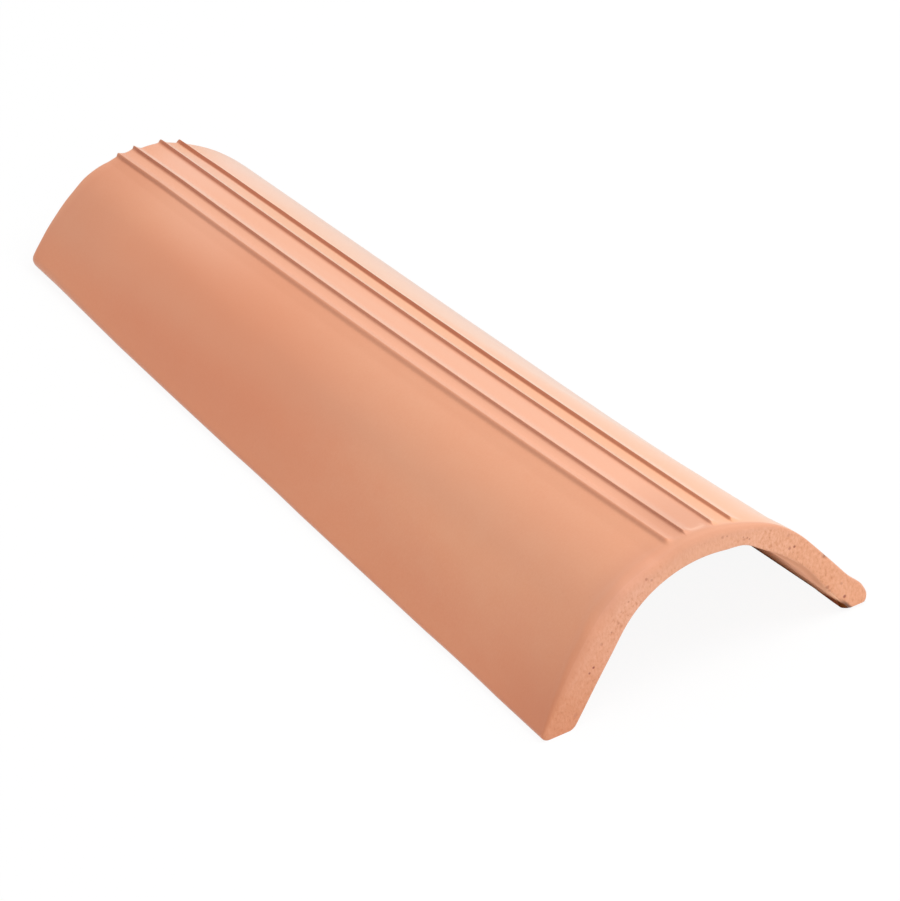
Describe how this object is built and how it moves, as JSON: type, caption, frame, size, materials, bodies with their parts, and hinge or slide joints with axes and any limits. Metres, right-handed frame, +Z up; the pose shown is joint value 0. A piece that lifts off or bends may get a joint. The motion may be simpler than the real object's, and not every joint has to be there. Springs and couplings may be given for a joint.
{
  "type": "curved clay roof tile",
  "caption": "Tapered barrel roof tile of fired clay: a long open arch with straight flaring legs, flat feet and parallel grip ribs along its crown.",
  "frame": {"origin": "on the floor plane under the middle of the tile: halfway along its length and halfway between its two feet", "axes": "+Y along the tile from its wide end to its narrow end, +X across it, +Z up through the crown with the feet on z = 0"},
  "size_m": [0.1428, 0.4, 0.06],
  "materials": {
    "fired_clay": "unglazed fired clay, dry and matte, orange-pink with soft blotches"
  },
  "bodies": {
    "root": {"roof_tile": "fired_clay"}
  },
  "joints": []
}
